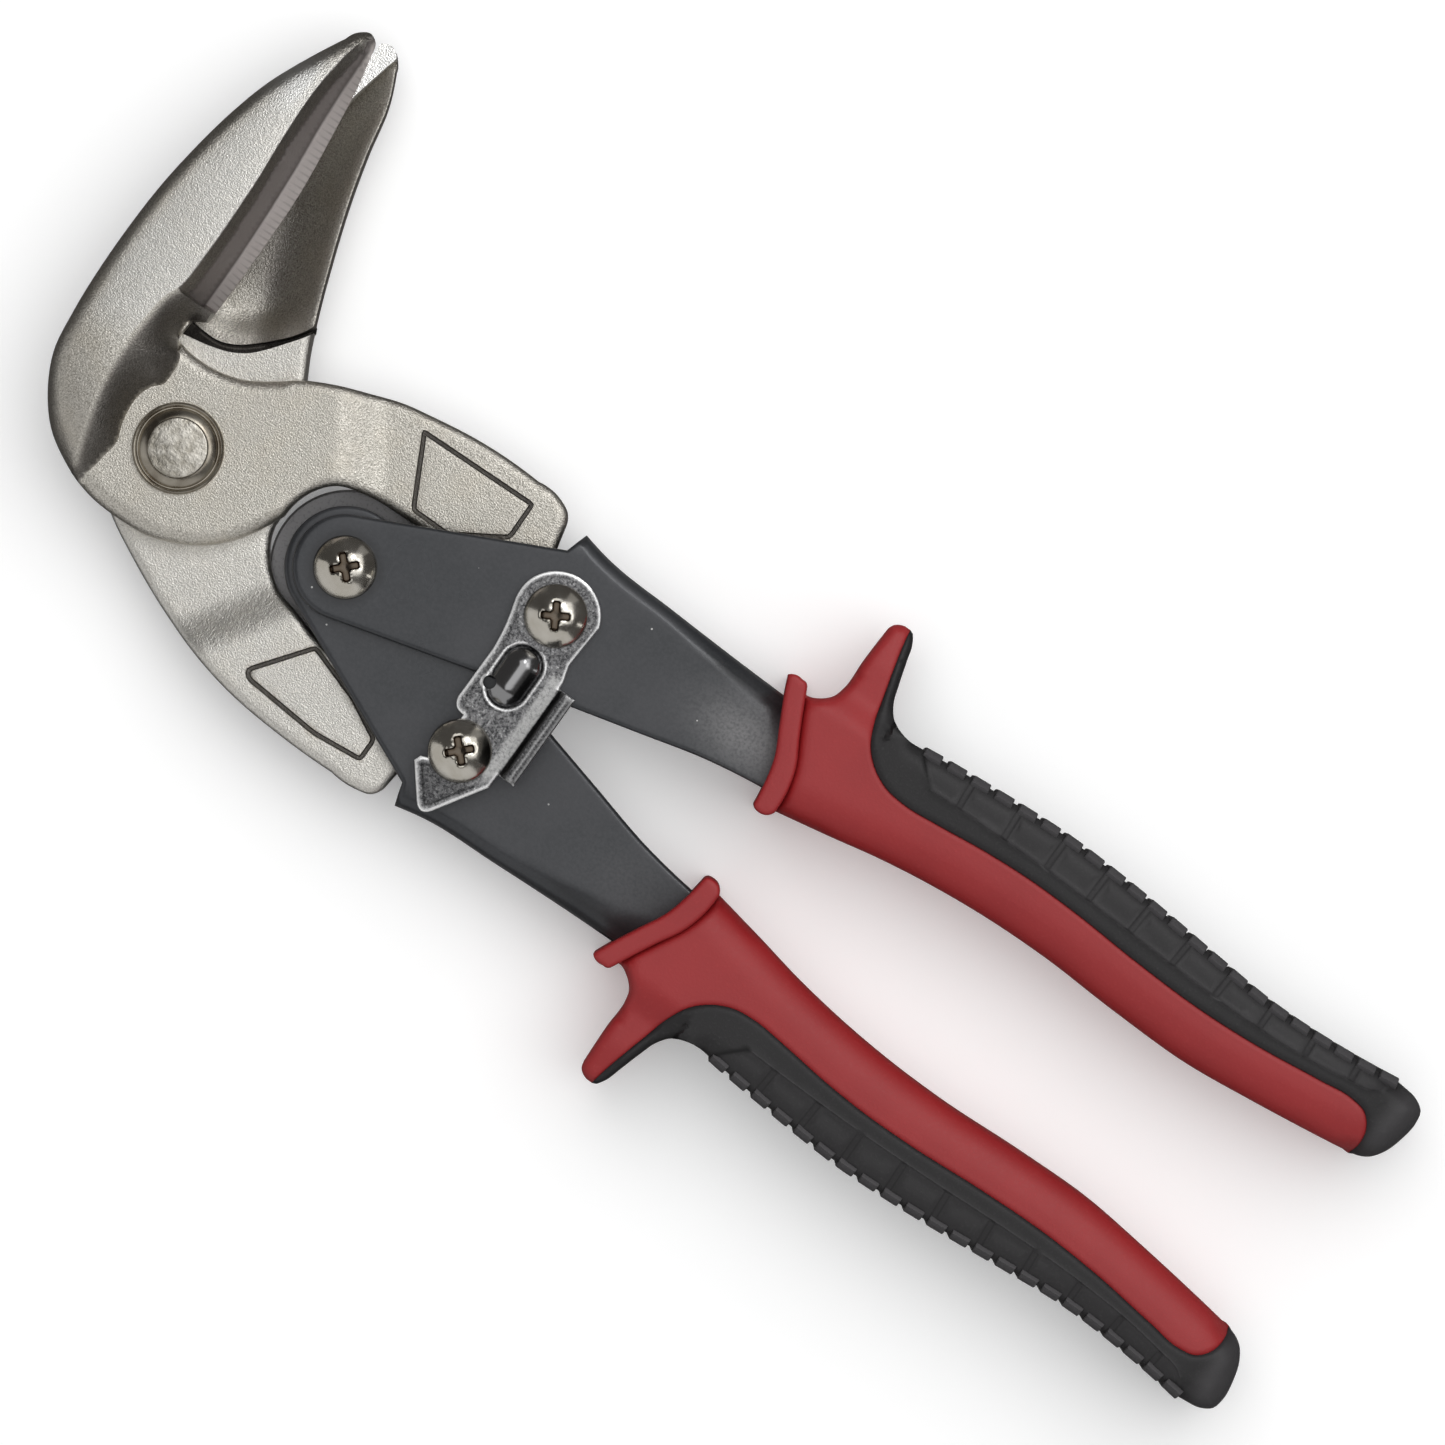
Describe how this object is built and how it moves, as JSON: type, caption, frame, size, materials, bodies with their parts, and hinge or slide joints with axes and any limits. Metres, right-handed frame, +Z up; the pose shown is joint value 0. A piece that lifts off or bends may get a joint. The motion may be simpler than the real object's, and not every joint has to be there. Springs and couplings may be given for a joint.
{
  "type": "aviation snips",
  "caption": "Compound-leverage snips with right-angled forged jaws, folded steel handles, a swinging latch and two-colour grips with guard horns.",
  "frame": {"origin": "centre of the bounding box's underside, on the surface that the snips lie on", "axes": "+X along the centre line from the blade pivot to the grip ends, +Y towards the jaw tips, +Z up along the pivots, latch side up"},
  "size_m": [0.2518, 0.117, 0.0252],
  "materials": {
    "blade_steel": "satin nickel plate",
    "plated_steel": "bright nickel plate",
    "handle_steel": "satin gunmetal",
    "latch_steel": "bright zinc plate",
    "spring_steel": "oiled",
    "red_plastic": "fine matte",
    "black_rubber": "matte"
  },
  "bodies": {
    "upper_handle": {"upper_handle_channel": "handle_steel", "upper_grip_core": "red_plastic", "upper_grip_cover": "black_rubber", "handle_pivot_screw": "plated_steel", "handle_pivot_nut": "plated_steel", "handle_pivot_spacer": "plated_steel", "return_spring": "spring_steel", "upper_link_screw": "plated_steel", "upper_link_nut": "plated_steel", "upper_tail_washers": "plated_steel", "latch_washer": "latch_steel"},
    "lower_handle": {"lower_handle_channel": "handle_steel", "lower_grip_core": "red_plastic", "lower_grip_cover": "black_rubber", "lower_link_screw": "plated_steel", "lower_link_nut": "plated_steel"},
    "upper_blade": {"upper_blade": "blade_steel", "blade_pivot_pin": "plated_steel", "pivot_collar_front": "plated_steel", "pivot_collar_back": "plated_steel", "upper_tail_bush": "plated_steel"},
    "lower_blade": {"lower_blade": "blade_steel", "lower_tail_bush": "plated_steel"},
    "latch": {"latch": "latch_steel"}
  },
  "joints": [
    {"name": "handle_open", "type": "hinge", "parent": "upper_handle", "child": "lower_handle", "pos_m": [-0.06599, -0.01398, 0.0116], "axis": [0, 0, -1], "range_deg": [0, 30]},
    {"name": "upper_link_turn", "type": "hinge", "parent": "upper_handle", "child": "upper_blade", "pos_m": [-0.03399, -0.00078, 0.0116], "axis": [0, 0, -1], "range_deg": [0, 8]},
    {"name": "blade_open", "type": "hinge", "parent": "upper_blade", "child": "lower_blade", "pos_m": [-0.09889, -0.01398, 0.0116], "axis": [0, 0, -1], "range_deg": [0, 14.4]},
    {"name": "latch_swing", "type": "hinge", "parent": "upper_handle", "child": "latch", "pos_m": [-0.03399, -0.00078, 0.0116], "axis": [0, 0, 1], "range_deg": [0, 76]}
  ],
  "couplings": [
    {"joint": "upper_link_turn", "follows": "handle_open", "ratio": 0.264},
    {"joint": "blade_open", "follows": "handle_open", "ratio": 0.473},
    {"joint": "latch_swing", "follows": "handle_open", "ratio": 2.5}
  ]
}
